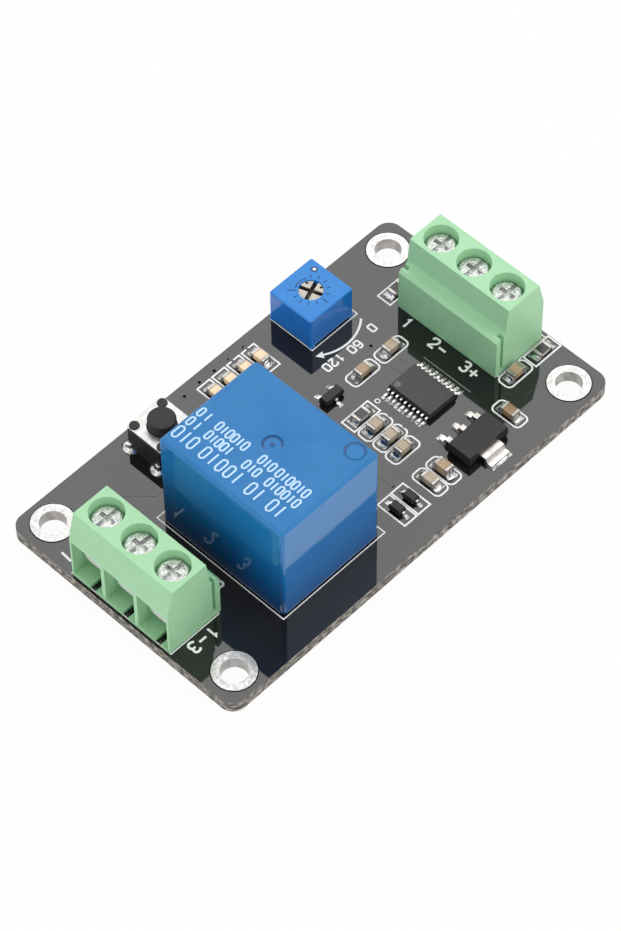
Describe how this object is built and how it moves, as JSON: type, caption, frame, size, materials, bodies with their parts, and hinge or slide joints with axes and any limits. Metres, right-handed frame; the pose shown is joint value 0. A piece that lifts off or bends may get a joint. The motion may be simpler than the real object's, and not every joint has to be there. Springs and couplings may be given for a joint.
{
  "type": "relay module board",
  "caption": "Small circuit board with a sealed relay, screw terminal blocks at both ends, a trimmer, a push switch and surface-mounted parts.",
  "frame": {"origin": "centre of the four mounting holes, on the underside of the board", "axes": "+X along the long side towards the input terminals, +Z out of the component side"},
  "size_m": [0.0614, 0.0352, 0.0188],
  "materials": {
    "circuit_board": "glossy black solder mask on glass-fibre laminate",
    "tinned_copper": "bright tin",
    "solder": "bright solder",
    "relay_blue": "smooth satin",
    "relay_base": "matte",
    "bobbin": "matte",
    "copper_winding": "enamelled wire",
    "relay_iron": "nickel plated",
    "spring_bronze": "bright",
    "contact_silver": "bright",
    "terminal_green": "satin",
    "zinc_steel": "zinc plated",
    "trimmer_blue": "satin",
    "rotor_cream": "satin",
    "ceramic": "matte",
    "switch_black": "matte",
    "switch_steel": "bright",
    "package_black": "matte",
    "capacitor_ceramic": "matte",
    "resistor_film": "satin",
    "led_cream": "gloss"
  },
  "bodies": {
    "board": {"circuit_board": "circuit_board", "mounting_hole_plating": "tinned_copper", "through_hole_solder": "solder", "solder_pads": "tinned_copper", "relay_cover": "relay_blue", "relay_base": "relay_base", "relay_bobbin": "bobbin", "relay_coil_winding": "copper_winding", "relay_core": "relay_iron", "relay_yoke": "relay_iron", "relay_common_pin": "tinned_copper", "relay_no_terminal": "tinned_copper", "relay_nc_terminal": "tinned_copper", "relay_coil_pins": "tinned_copper", "input_terminal_housing": "terminal_green", "input_terminal_pins": "tinned_copper", "output_terminal_housing": "terminal_green", "output_terminal_pins": "tinned_copper", "trimmer_housing": "trimmer_blue", "trimmer_element": "ceramic", "trimmer_pins": "tinned_copper", "switch_base": "switch_black", "switch_plate": "switch_steel", "switch_dome": "switch_steel", "switch_legs": "tinned_copper", "controller_body": "package_black", "controller_leads": "tinned_copper", "regulator_body": "package_black", "regulator_leads": "tinned_copper", "transistor_body": "package_black", "transistor_leads": "tinned_copper", "diode_bodies": "package_black", "diode_leads": "tinned_copper", "capacitor_bodies": "capacitor_ceramic", "capacitor_ends": "tinned_copper", "resistor_bodies": "resistor_film", "resistor_ends": "tinned_copper", "led_bodies": "led_cream", "led_ends": "tinned_copper"},
    "armature": {"relay_armature": "relay_iron", "relay_contact_leaf": "spring_bronze", "relay_moving_contact": "contact_silver"},
    "trimmer_rotor": {"trimmer_rotor": "rotor_cream", "trimmer_wiper": "spring_bronze"},
    "switch_plunger": {"switch_plunger": "switch_black"},
    "input_screw_1": {"input_terminal_screw_1": "zinc_steel"},
    "input_clamp_1": {"input_terminal_clamp_1": "zinc_steel"},
    "input_screw_2": {"input_terminal_screw_2": "zinc_steel"},
    "input_clamp_2": {"input_terminal_clamp_2": "zinc_steel"},
    "input_screw_3": {"input_terminal_screw_3": "zinc_steel"},
    "input_clamp_3": {"input_terminal_clamp_3": "zinc_steel"},
    "output_screw_1": {"output_terminal_screw_1": "zinc_steel"},
    "output_clamp_1": {"output_terminal_clamp_1": "zinc_steel"},
    "output_screw_2": {"output_terminal_screw_2": "zinc_steel"},
    "output_clamp_2": {"output_terminal_clamp_2": "zinc_steel"},
    "output_screw_3": {"output_terminal_screw_3": "zinc_steel"},
    "output_clamp_3": {"output_terminal_clamp_3": "zinc_steel"}
  },
  "joints": [
    {"name": "input_screw_1_turn", "type": "hinge", "parent": "board", "child": "input_screw_1", "pos_m": [0.02615, -0.0051, 0.01], "axis": [0, 0, -1], "range_deg": [-1224, 216]},
    {"name": "input_clamp_1_rise", "type": "slide", "parent": "board", "child": "input_clamp_1", "axis": [0, 0, 1], "range_m": [-0.0017, 0.0003]},
    {"name": "input_screw_2_turn", "type": "hinge", "parent": "board", "child": "input_screw_2", "pos_m": [0.02615, -0.00002, 0.01], "axis": [0, 0, -1], "range_deg": [-1224, 216]},
    {"name": "input_clamp_2_rise", "type": "slide", "parent": "board", "child": "input_clamp_2", "axis": [0, 0, 1], "range_m": [-0.0017, 0.0003]},
    {"name": "input_screw_3_turn", "type": "hinge", "parent": "board", "child": "input_screw_3", "pos_m": [0.02615, 0.00506, 0.01], "axis": [0, 0, -1], "range_deg": [-1224, 216]},
    {"name": "input_clamp_3_rise", "type": "slide", "parent": "board", "child": "input_clamp_3", "axis": [0, 0, 1], "range_m": [-0.0017, 0.0003]},
    {"name": "output_screw_1_turn", "type": "hinge", "parent": "board", "child": "output_screw_1", "pos_m": [-0.02683, 0.00513, 0.01], "axis": [0, 0, -1], "range_deg": [-1224, 216]},
    {"name": "output_clamp_1_rise", "type": "slide", "parent": "board", "child": "output_clamp_1", "axis": [0, 0, 1], "range_m": [-0.0017, 0.0003]},
    {"name": "output_screw_2_turn", "type": "hinge", "parent": "board", "child": "output_screw_2", "pos_m": [-0.02683, 0.00005, 0.01], "axis": [0, 0, -1], "range_deg": [-1224, 216]},
    {"name": "output_clamp_2_rise", "type": "slide", "parent": "board", "child": "output_clamp_2", "axis": [0, 0, 1], "range_m": [-0.0017, 0.0003]},
    {"name": "output_screw_3_turn", "type": "hinge", "parent": "board", "child": "output_screw_3", "pos_m": [-0.02683, -0.00503, 0.01], "axis": [0, 0, -1], "range_deg": [-1224, 216]},
    {"name": "output_clamp_3_rise", "type": "slide", "parent": "board", "child": "output_clamp_3", "axis": [0, 0, 1], "range_m": [-0.0017, 0.0003]},
    {"name": "relay_armature_pull", "type": "hinge", "parent": "board", "child": "armature", "pos_m": [-0.01087, -0.01124, 0.01185], "axis": [-1, 0, 0], "range_deg": [0, 3], "stiffness_Nm_per_rad": 0.02, "springref_deg": -11.46},
    {"name": "trimmer_turn", "type": "hinge", "parent": "board", "child": "trimmer_rotor", "pos_m": [0.01375, 0.01376, 0.0056], "axis": [0, 0, -1], "range_deg": [-100, 140]},
    {"name": "switch_press", "type": "slide", "parent": "board", "child": "switch_plunger", "axis": [0, 0, -1], "range_m": [0, 0.00025], "stiffness_N_per_m": 6400, "deforming": ["switch_dome"]}
  ],
  "couplings": [
    {"joint": "input_screw_1_turn", "follows": "input_clamp_1_rise", "rad_per_m": 12566},
    {"joint": "input_screw_2_turn", "follows": "input_clamp_2_rise", "rad_per_m": 12566},
    {"joint": "input_screw_3_turn", "follows": "input_clamp_3_rise", "rad_per_m": 12566},
    {"joint": "output_screw_1_turn", "follows": "output_clamp_1_rise", "rad_per_m": 12566},
    {"joint": "output_screw_2_turn", "follows": "output_clamp_2_rise", "rad_per_m": 12566},
    {"joint": "output_screw_3_turn", "follows": "output_clamp_3_rise", "rad_per_m": 12566}
  ]
}
